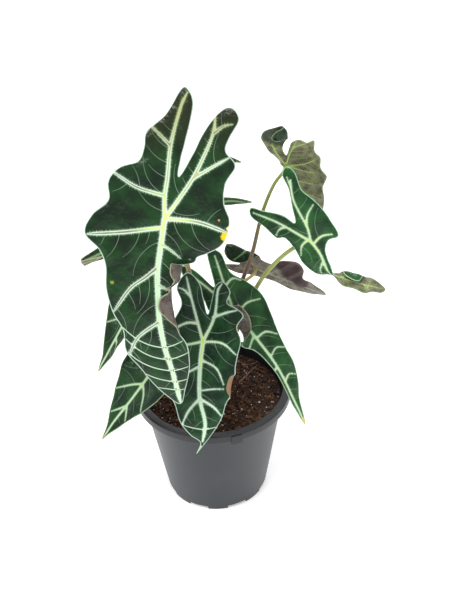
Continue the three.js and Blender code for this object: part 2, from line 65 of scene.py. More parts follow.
# ---------- leaves: the same shapes as the CAD ----------
# at: the join, x and y in rim radii and z in mm above the rim.
# aim: heading of the tip, dip, and roll about the midrib.
# ribs: each one its points from the join outwards, then its half widths at start and end.
# pairs: where a pair of thin veins leaves the midrib near the tip, and how far it swings back.
LEAVES = {
    "front_left": {
        "at": (-0.4, -0.67, 209), "aim": (-90, 73, 0),
        "margin": [
            (-98, 18), (-97, 24), (-86, 27), (-66, 22), (-48, 16), (-33, 13), (-50, 25), (-68, 36), (-80, 48),
            (-82, 57), (-73, 62), (-60, 54), (-51, 51), (-40, 58), (-27, 50), (-12, 48), (1, 52),
            (14, 49), (22, 44), (28, 33), (32, 24), (40, 25), (50, 21), (57, 6), (61, 15), (70, 19),
            (79, 15), (88, 9), (97, 9), (107, 13), (118, 14), (130, 13), (146, 9), (162, 3),
            (145, -14), (122, -28), (106, -38), (88, -39), (72, -46), (52, -50), (34, -49), (20, -53),
            (6, -63), (-8, -56), (-18, -43), (-32, -42), (-42, -33), (-46, -18), (-56, -13), (-68, -10),
            (-80, 5),
        ],
        "shape": [
            ("bend", 43, 10, 80, 6, 185, 9, 6), ("bend", 76, 2, 97, 7, 190, 22, 10),
            ("bend", 0, 1, 90, 14, 14), ("bend", 0, -1, -90, 14, 14), ("bend", 70, 0, 0, 100, -14),
            ("bend", -25, 0, 180, 90, -12),
        ],
        "ribs": [
            ([(0, 0), (20, -4), (41, -8), (60, -9), (84, -9), (108, -6), (130, -1), (160, 4)], 2.6, 2.1),
            ([(0, 0), (-17, 1), (-32, 4), (-57, 8), (-84, 17), (-95, 23)], 2.0, 1.1),
            ([(-57, 7), (-71, -6), (-73, -11)], 1.3, 0.6),
            ([(0, 0), (-15, 12), (-31, 24), (-50, 35), (-65, 42), (-77, 44)], 2.0, 1.0),
            ([(-64, 42), (-69, 50), (-70, 57)], 1.2, 0.7),
            ([(-31, 24), (-39, 39), (-46, 53)], 1.5, 0.9),
            ([(-18, 1), (-26, -20), (-40, -39)], 1.8, 0.9),
            ([(7, -2), (8, -32), (7, -61)], 2.0, 1.5),
            ([(39, -8), (46, -18), (54, -31), (71, -45)], 1.9, 1.1),
            ([(84, -9), (95, -27), (110, -36)], 1.7, 1.1),
            ([(0, 1), (3, 27), (11, 50)], 2.0, 1.5),
            ([(20, -4), (25, 3), (32, 11)], 1.1, 0.7),
            ([(53, -8), (57, -2), (58, 4)], 1.0, 0.5),
        ],
        "pairs": [(107, 7), (118, 7), (129, 6), (139, 6), (148, 4)],
    },
    "front_middle": {
        "at": (-0.08, -0.53, 81), "aim": (-90, 58, 0),
        "margin": [
            (-62, -11), (-50, -21), (-33, -18), (-10, -31), (14, -34), (40, -32), (54, -27), (70, -23),
            (82, -15), (91, -6), (101, -10), (92, -2), (77, 9), (66, 15), (56, 18), (50, 22), (44, 29),
            (34, 31), (26, 28), (12, 31), (0, 34), (-12, 31), (-22, 37), (-29, 31), (-34, 23), (-44, 26),
            (-53, 20), (-49, 13), (-36, 9), (-24, 5), (-38, 2), (-52, -1),
        ],
        "shape": [
            ("bend", 40, 23, 76, 4, 170, 12, 8), ("bend", 0, 1, 90, 12, 14), ("bend", 0, -1, -90, 12, 14),
            ("bend", 30, 0, 0, 60, -14), ("bend", -10, 0, 180, 40, 14),
        ],
        "ribs": [
            ([(0, 0), (19, -3), (48, -5), (72, -1), (90, -4)], 2.1, 1.4),
            ([(0, 0), (-22, -5), (-41, -9), (-58, -12)], 1.3, 0.6),
            ([(-40, -9), (-47, -15), (-49, -19)], 0.9, 0.5),
            ([(-16, -4), (-17, -14), (-11, -28)], 1.1, 0.7),
            ([(0, 0), (-21, 11), (-44, 15), (-51, 19)], 1.4, 0.6),
            ([(-21, 10), (-25, 22), (-27, 31)], 1.1, 0.7),
            ([(0, 0), (2, -14), (3, -31)], 1.0, 0.7),
            ([(21, -3), (26, -14), (31, -31)], 0.9, 0.6),
            ([(50, -5), (60, -15), (70, -21)], 1.2, 0.8),
            ([(0, 0), (2, 17), (12, 29)], 1.0, 0.5),
            ([(16, -2), (24, 11), (38, 17)], 0.7, 0.4),
            ([(43, -4), (42, 8), (42, 17)], 0.5, 0.3),
            ([(50, -5), (58, 7), (66, 14)], 1.2, 0.7),
        ],
        "pairs": [(78, 5)],
    },
    "front_right": {
        "at": (0.29, 0, 86), "aim": (-34, 51, 25),
        "margin": [
            (-58, 11), (-50, 20), (-30, 18), (-14, 26), (4, 31), (24, 28), (42, 24), (58, 22), (74, 21),
            (90, 16), (108, 8), (133, 1), (112, -1), (92, 0), (74, 1), (56, -1), (42, -5), (32, -13),
            (12, -24), (-12, -20), (-30, -17), (-46, -22), (-60, -18), (-50, -9), (-28, -3), (-40, 3),
        ],
        "shape": [
            ("bend", 10, -4, -90, 8, 170, 17, 14), ("bend", 0, 1, 90, 14, 10), ("bend", 40, 0, 0, 70, -14),
        ],
        "ribs": [
            ([(0, 0), (32, 3), (65, 5), (100, 3), (128, 1)], 1.4, 0.6),
            ([(0, 0), (-22, 6), (-50, 14)], 1.3, 0.6),
            ([(-22, 6), (-24, 16), (-18, 22)], 0.9, 0.5),
            ([(6, 0), (2, 14), (6, 27)], 1.0, 0.5),
            ([(34, 3), (34, 14), (42, 22)], 0.9, 0.5),
            ([(84, 4), (80, 11), (84, 17)], 0.8, 0.4),
            ([(56, 5), (52, 14), (56, 21)], 0.4, 0.3),
            ([(30, 3), (36, -6), (42, -14)], 0.8, 0.4),
            ([(4, 0), (6, -12), (14, -22)], 0.9, 0.5),
            ([(0, 0), (-22, -6), (-52, -16)], 1.2, 0.6),
            ([(66, 5), (70, 0), (76, -3)], 0.6, 0.3),
        ],
    },
    "low_left": {
        "at": (-0.69, -0.33, 42), "aim": (-142, 38, 0),
        "margin": [
            (-62, 12), (-48, 22), (-28, 20), (-8, 32), (10, 33), (28, 28), (46, 17), (58, 10), (72, 3),
            (80, 0), (70, -5), (56, -13), (42, -20), (26, -28), (8, -34), (-8, -30), (-28, -22),
            (-46, -26), (-60, -16), (-44, -6), (-22, 0), (-46, 5),
        ],
        "shape": [
            ("bend", 0, 1, 90, 12, 12), ("bend", 0, -1, -90, 12, 12), ("bend", -8, 0, 180, 25, 45),
        ],
        "ribs": [
            ([(0, 0), (34, 0), (60, -1), (78, 0)], 1.6, 0.9),
            ([(0, 0), (-26, 8), (-54, 15)], 1.2, 0.6),
            ([(0, 0), (-26, -9), (-53, -19)], 1.2, 0.6),
            ([(0, 0), (-2, 14), (4, 30)], 1.0, 0.6),
            ([(18, 0), (26, 10), (38, 20)], 1.0, 0.6),
            ([(0, 0), (-2, -14), (2, -30)], 1.0, 0.6),
            ([(18, 0), (25, -10), (36, -21)], 1.0, 0.6),
            ([(42, 0), (50, -6), (56, -11)], 0.8, 0.5),
            ([(42, 0), (48, 5), (54, 10)], 0.8, 0.5),
        ],
    },
    "left": {
        "at": (-0.88, 0.27, 90), "aim": (-140, 48, 0),
        "margin": [
            (-50, 16), (-38, 24), (-20, 20), (-4, 28), (14, 26), (32, 20), (50, 13), (64, 6), (78, 0),
            (64, -5), (50, -11), (32, -18), (14, -24), (-4, -26), (-20, -20), (-38, -24), (-50, -16),
            (-34, -6), (-18, 0), (-34, 6),
        ],
        "shape": [("bend", 0, 1, 90, 10, 40), ("bend", 0, -1, -90, 10, 40)],
        "ribs": [
            ([(0, 0), (30, 0), (56, 0), (76, 0)], 1.5, 0.8),
            ([(0, 0), (-20, 9), (-44, 18)], 1.1, 0.5),
            ([(0, 0), (-20, -9), (-44, -18)], 1.1, 0.5),
            ([(0, 0), (0, 14), (4, 25)], 0.9, 0.5),
            ([(20, 0), (26, 9), (34, 17)], 0.9, 0.5),
            ([(0, 0), (0, -13), (4, -23)], 0.9, 0.5),
            ([(20, 0), (26, -8), (34, -16)], 0.9, 0.5),
            ([(42, 0), (47, 6), (52, 11)], 0.7, 0.4),
        ],
    },
    "back_right": {
        "at": (0.99, 0.8, 200), "aim": (30, 63, -35),
        "margin": [
            (-24, -7), (-30, -13), (-33, -20), (-34, -28), (-39, -31), (-44, -25), (-45, -12), (-42, 3),
            (-36, 10), (-29, 11), (-20, 10), (-11, 8), (0, 12), (14, 18),
            (30, 20), (48, 14), (66, 6), (84, 0), (70, -7), (58, -15), (44, -21), (32, -24), (26, -28),
            (18, -33), (8, -31), (-4, -35), (-13, -33), (-25, -37), (-24, -30), (-28, -24), (-26, -16),
            (-20, -11), (-12, -5), (-18, -4),
        ],
        "shape": [
            ("bend", -47, -14, -90, 6, -165, 17, 4, 24), ("bend", 36, 2, 90, 8, 100, 46, 14),
        ],
        "ribs": [
            ([(0, 0), (20, 0), (48, 0), (78, 0)], 1.3, 0.7),
            ([(0, 0), (-12, -8), (-20, -15), (-28, -22)], 1.1, 0.6),
            ([(-20, -15), (-23, -25), (-24, -34)], 0.8, 0.5),
            ([(0, 0), (-20, 3), (-36, 0)], 1.1, 0.6),
            ([(0, 0), (0, -18), (-6, -36)], 1.0, 0.5),
            ([(0, 0), (8, -14), (14, -30)], 1.0, 0.5),
            ([(18, 0), (24, -13), (28, -25)], 0.9, 0.5),
            ([(34, 0), (40, -10), (46, -19)], 0.8, 0.4),
            ([(50, 0), (55, -7), (60, -13)], 0.7, 0.4),
            ([(0, 0), (0, 12), (2, 23)], 0.9, 0.5),
            ([(18, 0), (24, 10), (30, 20)], 0.9, 0.5),
            ([(-22, 2), (-28, 6), (-32, 9)], 0.6, 0.3),
        ],
    },
    "right": {
        "at": (1.23, 0.13, 149), "aim": (-30, 44, 70),
        "margin": [
            (-64, 27), (-61, 19), (-48, 15), (-34, 7), (-22, 0), (-34, -4), (-48, -15), (-57, -22),
            (-51, -27), (-36, -24), (-22, -22), (-17, -16), (-4, -16), (10, -18), (22, -16), (34, -12),
            (42, -8), (47, -15), (58, -18), (64, -9), (72, -9), (80, -6), (86, -1), (82, 4), (74, 5),
            (66, 8), (56, 6), (44, 7), (32, 5), (22, 4), (13, 6), (8, 13), (9, 23), (-4, 26),
            (-16, 27), (-28, 26), (-41, 24), (-55, 29),
        ],
        "shape": [
            ("bend", 54, -6, -90, 4, -160, 11, 4), ("twist", 20, 30, 120), ("sway", 26, 18, 46),
            ("sway", 4, 16, -16), ("bend", 26, 0, 0, 26, -20),
        ],
        "ribs": [
            ([(0, 0), (14, 0), (38, -1), (62, 0), (82, 0)], 1.1, 0.5),
            ([(0, 0), (-14, -5), (-32, -12), (-52, -23)], 1.1, 0.5),
            ([(0, 0), (-12, 6), (-26, 9), (-40, 13), (-53, 22)], 1.0, 0.5),
            ([(-38, 12), (-47, 17), (-57, 21)], 0.7, 0.4),
            ([(-13, 6), (-20, 13), (-24, 23)], 0.9, 0.5),
            ([(-24, -9), (-26, -15), (-24, -20)], 0.7, 0.4),
            ([(-3, -1), (-2, -9), (4, -15)], 0.9, 0.4),
            ([(3, 0), (2, 10), (6, 19)], 1.0, 0.6),
            ([(20, 0), (25, -5), (30, -9)], 0.7, 0.4),
            ([(38, 0), (42, 2), (44, 5)], 0.5, 0.3),
            ([(40, 0), (47, -4), (54, -7)], 0.5, 0.3),
            ([(64, 0), (69, 3), (74, 6)], 0.5, 0.3),
        ],
    },
    "back_low": {
        "at": (0.61, 0.89, 89), "aim": (-7, 22, -72),
        "margin": [
            (-34, -14), (-16, 2), (-30, 10), (-16, 14), (0, 10), (20, 8), (40, 10), (56, 8), (74, 2),
            (70, -3), (56, -8), (46, -10), (42, -22), (32, -28), (20, -24), (12, -14), (2, -14),
            (-4, -21), (-14, -33), (-26, -37), (-36, -29),
        ],
        "shape": [
            ("bend", -20, -18, -90, 6, -165, 20, 10), ("bend", 0, 3, 90, 14, -30),
        ],
        "ribs": [
            ([(0, 0), (24, 0), (48, 0), (70, 0)], 1.2, 0.7),
            ([(0, 0), (-10, 5), (-22, 10)], 0.8, 0.5),
            ([(0, 0), (-12, -12), (-24, -34)], 1.0, 0.5),
            ([(14, 0), (20, -10), (26, -24)], 0.8, 0.4),
            ([(28, 0), (34, -8), (40, -20)], 0.7, 0.4),
            ([(44, 0), (50, -4), (56, -7)], 0.5, 0.3),
            ([(44, 0), (50, 4), (56, 7)], 0.5, 0.3),
        ],
    },
    "back_left": {
        "at": (-0.4, 0.35, 166), "aim": (-174, 22, -75),
        "margin": [
            (-78, -21), (-68, -33), (-56, -43), (-44, -42), (-30, -34), (-12, -28), (14, -24),
            (40, -15), (60, -8), (84, -4), (104, -2), (118, 0), (104, 2), (84, 4), (60, 8), (40, 16),
            (14, 25), (-8, 24), (-24, 12), (-42, 6), (-56, 10), (-72, 15), (-60, 5), (-44, -2),
            (-20, -3), (-36, -22), (-50, -33), (-62, -29),
        ],
        "shape": [("bend", 84, 0, 0, 12, 160)],
        "ribs": [
            ([(0, 0), (40, 0), (76, 0), (108, 0)], 1.5, 0.8),
            ([(0, 0), (-28, -24), (-52, -38), (-72, -26)], 1.0, 0.5),
            ([(0, 0), (-28, 4), (-50, 4), (-66, 12)], 1.1, 0.5),
            ([(2, 0), (4, 12), (12, 24)], 0.9, 0.5),
            ([(2, 0), (4, -12), (12, -24)], 0.9, 0.5),
            ([(34, 0), (42, 9), (50, 16)], 0.8, 0.4),
            ([(34, 0), (42, -9), (50, -16)], 0.8, 0.4),
            ([(18, 0), (24, -9), (30, -16)], 0.7, 0.4),
        ],
    },
}

# The places in the list of ribs of those that run up into the lobes behind the join.
LOBE_RIBS = {name: (1, 3, 5) if name == "front_left" else (1, 4, 9) for name in LEAVES}

# Each stalk: azimuth of its foot, thickness at foot and top, and the points it passes.
STALKS = {
    "front_left": (232, 5, 3.6, [(-0.13, -0.06, 82), (-0.21, -0.09, 134), (-0.32, -0.3, 188)]),
    "front_middle": (273, 5, 3.4, [(-0.03, -0.16, 32), (-0.05, -0.28, 62)]),
    "front_right": (320, 5, 3.4, [(0.12, -0.04, 32), (0.16, 0.01, 62)]),
    "low_left": (195, 4.6, 3.2, [(-0.29, -0.11, 22), (-0.51, -0.21, 32)]),
    "left": (159, 4.6, 3.2, [(-0.32, 0.13, 42), (-0.64, 0.27, 74)]),
    "back_right": (46, 5, 3, [
        (0.16, 0.27, 47), (0.36, 0.39, 87), (0.54, 0.49, 120), (0.69, 0.59, 162), (0.84, 0.69, 186)]),
    "right": (8, 5, 3.6, [(0.21, 0.08, 32), (0.59, 0.32, 94), (0.8, 0.32, 118), (1.04, 0.27, 137)]),
    "back_low": (84, 4.6, 3, [(0.06, 0.38, 34), (0.32, 0.68, 74)]),
    "back_left": (122, 5, 3.4, [(-0.12, 0.19, 52), (-0.29, 0.45, 122)]),
}
STALK_RING = 9.5
THICKNESS = 1.2
GRID = 2.0
ROW_SHARE = 0.87
RIB_SHARE = 0.8
RIB_TAPER = 9
VEIN_SPACING = 12
VEIN_CLEARANCE = 3.2
STRONG_RIB = 0.85
VEIN_ANGLES = (66, 80)
VEIN_LENGTHS = (20, 44)
VEIN_TURN = -2.0
PAIR_WIDTHS = (0.3, 0.15)
FAINT_WIDTHS = (0.2, 0.05)
OUTLINE_SPACING = 1.6
EDGE_SPACING = 0.4
PUCKER = 1.5
PUCKER_SPREAD = 7
PUCKER_UNEVEN = 0.8
PUCKER_SIZE = 16
VEIN_DIP = 0.28
RIPPLE = 1.1
RIPPLE_BAND = 12
RIPPLE_SIZE = 11
MARGIN_BAND = 3
RIB_RAISE = 0.6
END_SHARE = 0.35
FAR = 50.0
FAR_ACROSS = 9.0


# ---------- small helpers ----------
def linked(name, data):
    """A new object in the scene."""
    made = bpy.data.objects.new(name, data)
    bpy.context.scene.collection.objects.link(made)
    return made


def mesh_of(name, points, faces, smooth=False):
    """A mesh from points in mm."""
    mesh = bpy.data.meshes.new(name)
    mesh.from_pydata([p * MM for p in points], [], faces)
    mesh.polygons.foreach_set("use_smooth", [smooth] * len(mesh.polygons))
    return mesh


def store(mesh, name, values):
    """Keeps a number at each vertex, for the material to read."""
    mesh.attributes.new(name, "FLOAT", "POINT").data.foreach_set("value", values)


def around(radius, k, sides):
    """x and y of one corner of a regular polygon round the pot's axis."""
    angle = 2 * math.pi * k / sides
    return radius * math.cos(angle), radius * math.sin(angle)


# ---------- curves and the leaf's own folding ----------
def smoothstep(x):
    t = min(max(x, 0.0), 1.0)
    return t * t * (3 - 2 * t)


def catmull(points, closed, spacing):
    """A smooth curve through 2-D points, sampled about every spacing mm."""
    out = []
    count = len(points)
    for i in range(count if closed else count - 1):
        b, c = Vector(points[i]), Vector(points[(i + 1) % count])
        a = Vector(points[i - 1]) if closed or i > 0 else 2 * b - c
        d = Vector(points[(i + 2) % count]) if closed or i + 2 < count else 2 * c - b
        steps = max(1, round((c - b).length / spacing))
        for k in range(steps):
            t = k / steps
            out.append(0.5 * (2 * b + (c - a) * t + (2 * a - 5 * b + 4 * c - d) * t * t
                              + (3 * b - 3 * c + d - a) * t ** 3))
    if not closed:
        out.append(Vector(points[-1]))
    return out


def bend_point(p, u, v, toward, over, angle, half=math.inf, ramp=15, limit=math.inf):
    """Rolls what lies past a line through (u, v) up round a cylinder, over a given length.

    It reaches half to each side along the line, and leaves what lies farther past it than limit.
    """
    du, dv = math.cos(math.radians(toward)), math.sin(math.radians(toward))
    ahead = (p.x - u) * du + (p.y - v) * dv
    along = (p.y - v) * du - (p.x - u) * dv
    fade = 1 if half == math.inf else smoothstep((half - abs(along)) / ramp + 0.5)
    turn = math.radians(angle) * fade
    if ahead <= 0 or ahead > limit or abs(turn) < 1e-6:
        return p
    radius = over / turn
    swung = turn * min(ahead / over, 1)
    past = max(ahead - over, 0)
    reach = (radius - p.z) * math.sin(swung) + past * math.cos(turn)
    lift = radius - (radius - p.z) * math.cos(swung) + past * math.sin(turn)
    return Vector((u + reach * du - along * dv, v + reach * dv + along * du, lift))


def twist_point(p, start, over, angle):
    """Turns the leaf about its midrib, beyond a given distance from the stalk."""
    turn = math.radians(angle) * smoothstep((p.x - start) / over)
    return Matrix.Rotation(turn, 3, "X") @ p


def sway_point(p, start, over, angle):
    """Bends the leaf sideways, beyond a given distance from the stalk."""
    ahead = p.x - start
    if ahead <= 0:
        return p
    turn = math.radians(angle)
    radius = over / turn
    swung = turn * min(ahead / over, 1)
    past = max(ahead - over, 0)
    return Vector((start + (radius - p.y) * math.sin(swung) + past * math.cos(turn),
                   radius - (radius - p.y) * math.cos(swung) + past * math.sin(turn), p.z))


FOLDS = {"bend": bend_point, "twist": twist_point, "sway": sway_point}


def leaf_axes(aim):
    h, d, r = (math.radians(value) for value in aim)
    u = Vector((math.cos(h) * math.cos(d), math.sin(h) * math.cos(d), -math.sin(d)))
    v = Matrix.Rotation(r, 3, u) @ Vector((-math.sin(h), math.cos(h), 0))
    return u, v, u.cross(v)


def join_point(at):
    return Vector((at[0] * RIM, at[1] * RIM, POT_HEIGHT + at[2]))


def place(leaf, p):
    """A point of the flat leaf, folded and put in its place."""
    for step in leaf["shape"]:
        p = FOLDS[step[0]](p, *step[1:])
    u, v, w = leaf_axes(leaf["aim"])
    return join_point(leaf["at"]) + u * p.x + v * p.y + w * p.z


# ---------- leaf blades ----------
def inside(point, outline):
    """True for a point inside a closed outline."""
    hit = False
    j = len(outline) - 1
    for i in range(len(outline)):
        a, b = outline[i], outline[j]
        if (a.y > point.y) != (b.y > point.y):
            if point.x < (b.x - a.x) * (point.y - a.y) / (b.y - a.y) + a.x:
                hit = not hit
        j = i
    return hit


def tree_of(points):
    tree = KDTree(len(points))
    for i, p in enumerate(points):
        tree.insert((p.x, p.y, 0), i)
    tree.balance()
    return tree


def rib_samples(ribs, spacing=0.5):
    """Points along every rib with the rib's half width and the distance along it."""
    samples = []
    for number, (points, start, end) in enumerate(ribs):
        curve = catmull(points, False, spacing)
        for i, p in enumerate(curve):
            t = i / (len(curve) - 1)
            tapering = END_SHARE + (1 - END_SHARE) * smoothstep((len(curve) - i) * spacing / RIB_TAPER)
            samples.append((p, RIB_SHARE * tapering * (start + (end - start) * t), i * spacing, number))
    return samples


def vein_pairs(leaf, outline):
    """Thin veins in pairs, close to the tip."""
    veins = []
    midrib = catmull(leaf["ribs"][0][0], False, 1)
    for start_u, lean in leaf.get("pairs", ()):
        start = min(midrib, key=lambda p: abs(p.x - start_u))
        for side in (1, -1):
            path = [start]
            while inside(path[-1], outline) and len(path) < 40:
                back = 0.1 + 0.05 * len(path) * lean / 6
                path.append(path[-1] + Vector((-back, side)).normalized() * 2)
            if len(path) > 2:
                veins.append((path[:-1], *PAIR_WIDTHS))
    return veins


def side_veins(leaf, outline, edge_tree):
    """Faint arcs that leave each strong rib and swing outwards."""
    veins = []
    rib_points = rib_samples(leaf["ribs"], 1.0)
    rib_tree = tree_of([sample[0] for sample in rib_points])
    chance = random.Random(17)
    drawn = []

    def stopped(p, steps, number):
        _, _, to_edge = edge_tree.find((p.x, p.y, 0))
        _, index, to_rib = rib_tree.find((p.x, p.y, 0))
        _, width, _, other = rib_points[index]
        return (to_edge < 1.5 or not inside(p, outline)
                or (steps > 5 and to_rib < width + 1 and other != number)
                or any((p - q).length < VEIN_CLEARANCE for q in drawn))

    for number, (points, width, _) in enumerate(leaf["ribs"]):
        if width < STRONG_RIB:
            continue
        curve = catmull(points, False, 1)
        for i in range(8, len(curve) - 5, VEIN_SPACING):
            heading = (curve[i + 1] - curve[i - 1]).normalized()
            for side in (1, -1):
                path = [curve[min(i + chance.randint(-2, 2), len(curve) - 1)].copy()]
                turn = math.radians(chance.uniform(*VEIN_ANGLES)) * side
                direction = Matrix.Rotation(turn, 2) @ heading
                for steps in range(int(chance.uniform(*VEIN_LENGTHS))):
                    following = path[-1] + direction
                    if stopped(following, steps, number):
                        break
                    path.append(following)
                    direction = Matrix.Rotation(math.radians(VEIN_TURN) * side, 2) @ direction
                if len(path) > 5:
                    drawn += path
                    veins.append((path[::2], *FAINT_WIDTHS))
    return veins


def flat_mesh(outline, edge_tree, lines):
    """Points and triangles of the flat leaf, with edges along the outline and the given lines."""
    coords = [Vector((p.x, p.y)) for p in outline]
    loop = list(range(len(coords)))
    edges = []
    for line in lines:
        keep = []
        for p in line:
            _, _, to_edge = edge_tree.find((p.x, p.y, 0))
            if inside(p, outline) and to_edge > 0.8:
                keep.append(p)
        for a in keep[:-1]:
            edges.append((len(coords), len(coords) + 1))
            coords.append(Vector((a.x, a.y)))
        if keep:
            coords.append(Vector((keep[-1].x, keep[-1].y)))
    taken = tree_of(coords)
    xs, ys = [p.x for p in outline], [p.y for p in outline]
    rows = int((max(ys) - min(ys)) / (GRID * ROW_SHARE)) + 1
    columns = int((max(xs) - min(xs)) / GRID) + 1
    for j in range(rows):
        for i in range(columns):
            p = Vector((min(xs) + (i + 0.5 * (j % 2)) * GRID, min(ys) + j * GRID * ROW_SHARE))
            _, _, near = taken.find((p.x, p.y, 0))
            if near > 0.9 and inside(p, outline):
                coords.append(p)
    flat, _, faces, _, _, _ = delaunay_2d_cdt(coords, edges, [loop], 1, 1e-4)
    used = sorted({i for face in faces for i in face})
    renumber = {old: new for new, old in enumerate(used)}
    flat = [flat[i] for i in used]
    faces = [[renumber[i] for i in face] for face in faces]
    area = sum(flat[f[0]].x * (flat[f[1]].y - flat[f[2]].y) + flat[f[1]].x * (flat[f[2]].y - flat[f[0]].y)
               + flat[f[2]].x * (flat[f[0]].y - flat[f[1]].y) for f in faces)
    if area < 0:
        faces = [face[::-1] for face in faces]
    return flat, faces


def rim_of(faces):
    """The edges that only one face has."""
    drawn = {(a, b) for face in faces for a, b in zip(face, face[1:] + face[:1])}
    return [(a, b) for face in faces for a, b in zip(face, face[1:] + face[:1]) if (b, a) not in drawn]


def blade_mesh(name, leaf):
    """The finished leaf: a thin shell with raised ribs, puckers between them and a wavy margin.

    Each vertex keeps its distances from the ribs, thin veins and margin for the materials.
    """
    outline = catmull(leaf["margin"], True, OUTLINE_SPACING)
    edge_tree = tree_of(catmull(leaf["margin"], True, EDGE_SPACING))
    pairs = vein_pairs(leaf, outline)
    faint = side_veins(leaf, outline, edge_tree)
    strong = rib_samples(leaf["ribs"])
    rib_count = len(strong)
    for vein in pairs:
        strong += rib_samples([vein])
    strong_tree = tree_of([sample[0] for sample in strong])
    weak = []
    for vein in faint:
        weak += rib_samples([vein])
    weak_tree = tree_of([sample[0] for sample in weak]) if weak else None
    lines = [catmull(points, False, 2.0) for points, _, _ in leaf["ribs"]]
    flat, faces = flat_mesh(outline, edge_tree, lines + [path for path, _, _ in pairs + faint])

    kept = {label: [] for label in ("rib", "fine", "edge", "along", "across", "kind")}
    upper, lower = [], []
    for p in flat:
        _, _, to_edge = edge_tree.find((p.x, p.y, 0))
        best = (-FAR, 0.0, FAR, FAR_ACROSS, 0.0)
        for _, index, distance in strong_tree.find_n((p.x, p.y, 0), 6):
            _, width, along, number = strong[index]
            kind = 0.0 if number == 0 else 0.5 if number in LOBE_RIBS[name] else 1.0
            kind = 2.0 if index >= rib_count else kind
            best = max(best, (width - distance, along + 37 * number, distance, distance / width, kind))
        fine = -FAR
        if weak_tree:
            for _, index, distance in weak_tree.find_n((p.x, p.y, 0), 3):
                fine = max(fine, weak[index][1] - distance)
        rib, along, to_rib, across, kind = best
        for label, value in (("rib", rib), ("fine", fine), ("edge", to_edge), ("along", along),
                             ("across", min(across, FAR_ACROSS)), ("kind", kind)):
            kept[label].append(value)
        between = 1 - math.exp(-max(to_rib - 1, 0) / PUCKER_SPREAD)
        dip = math.exp(-(fine * fine) / 3) if fine < 0.5 else 1
        rise = PUCKER * between - VEIN_DIP * dip * between
        rise += PUCKER_UNEVEN * between * noise.noise(
            Vector((p.x / PUCKER_SIZE, p.y / PUCKER_SIZE, leaf["at"][2] / 7)))
        rise *= smoothstep(to_edge / PUCKER_SPREAD)
        ripple = RIPPLE * (1 - smoothstep(to_edge / RIPPLE_BAND)) * noise.noise(
            Vector((p.x / RIPPLE_SIZE, p.y / RIPPLE_SIZE, leaf["at"][2] / 5)))
        half = THICKNESS / 2 * (END_SHARE + (1 - END_SHARE) * smoothstep(to_edge / MARGIN_BAND))
        raised = RIB_RAISE * smoothstep((rib + 0.6) / 1.6)
        upper.append(place(leaf, Vector((p.x, p.y, rise + ripple + half - 0.25 * raised))))
        lower.append(place(leaf, Vector((p.x, p.y, rise + ripple - half - raised))))

    count = len(flat)
    polygons = [tuple(face) for face in faces]
    polygons += [tuple(i + count for i in face[::-1]) for face in faces]
    polygons += [(b, a, a + count, b + count) for a, b in rim_of(faces)]
    mesh = mesh_of("leaf_" + name, upper + lower, polygons, smooth=True)
    for label, values in kept.items():
        store(mesh, label, values + values)
    flat_layer = mesh.attributes.new("flat", "FLOAT_VECTOR", "POINT")
    flat_layer.data.foreach_set("vector", [c for p in flat + flat for c in (p.x, p.y, 0.0)])
    for polygon in mesh.polygons[len(faces):2 * len(faces)]:
        polygon.material_index = 1
    return mesh


